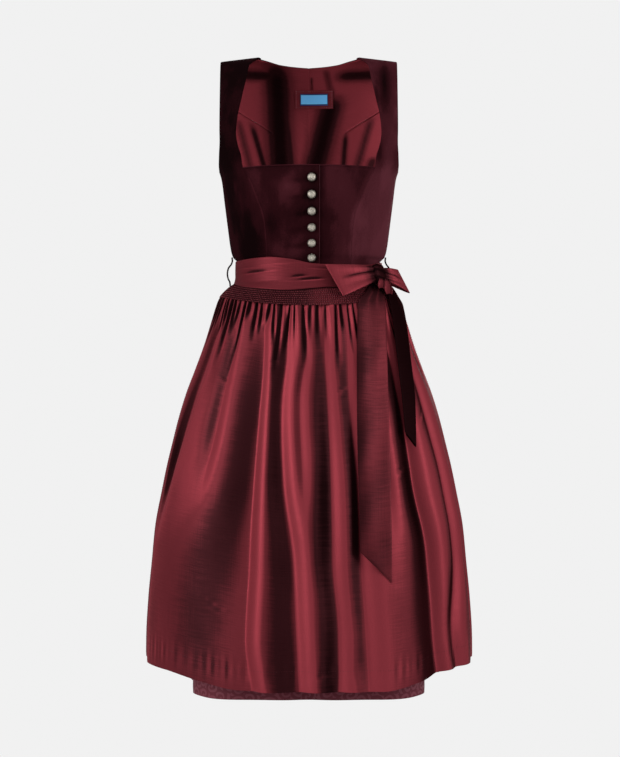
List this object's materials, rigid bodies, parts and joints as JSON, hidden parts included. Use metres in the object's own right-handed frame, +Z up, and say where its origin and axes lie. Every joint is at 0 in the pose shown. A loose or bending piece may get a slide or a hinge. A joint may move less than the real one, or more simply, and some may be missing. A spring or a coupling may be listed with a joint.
{
  "type": "dirndl",
  "caption": "Dirndl as worn and hollow: velvet bodice on wide straps, pleated skirt, smocked taffeta apron with a waist tie and a side bow.",
  "frame": {"origin": "midway between the two shoulder straps, level with the strap ridges, where the wearer's shoulders carry the dress", "axes": "+Z up towards the neck, front of the dress faces -Y, +X towards the wearer's left (the side with the bow)"},
  "size_m": [0.5563, 0.4236, 1.0652],
  "materials": {
    "velvet": "deep bordeaux cotton velvet with a soft nap",
    "lining": "red and black shot taffeta lining",
    "taffeta": "lustrous red and black shot taffeta with a fine crosswise rib",
    "skirt_cloth": "mauve bordeaux jacquard with a tone-on-tone scroll pattern",
    "label": "blank woven satin label, sky blue with a navy rim",
    "button_silver": "antique silver with dark hollows",
    "thread": "near-black corded thread"
  },
  "bodies": {
    "root": {"bodice_front_right": "velvet", "bodice_front_left": "velvet", "bodice_side_front_left": "velvet", "bodice_side_front_right": "velvet", "bodice_back_left": "velvet", "bodice_back_right": "velvet", "bodice_side_back_left": "velvet", "bodice_side_back_right": "velvet", "lining_back_left": "lining", "lining_back_right": "lining", "lining_side_back_left": "lining", "lining_side_back_right": "lining", "label_patch": "lining", "label": "label", "button_1": "button_silver", "button_2": "button_silver", "button_3": "button_silver", "button_4": "button_silver", "button_5": "button_silver", "button_6": "button_silver", "skirt_front": "skirt_cloth", "skirt_back_left": "skirt_cloth", "skirt_back_right": "skirt_cloth", "apron_waistband": "taffeta", "apron_smocking": "taffeta", "apron_panel": "taffeta", "tie_front": "taffeta", "tie_left": "taffeta", "tie_back": "taffeta", "bow_knot": "taffeta", "bow_loop_right": "taffeta", "bow_loop_left": "taffeta", "bow_end_long": "taffeta", "bow_end_short": "taffeta", "thread_loop_right": "thread", "thread_loop_left": "thread"}
  },
  "joints": []
}
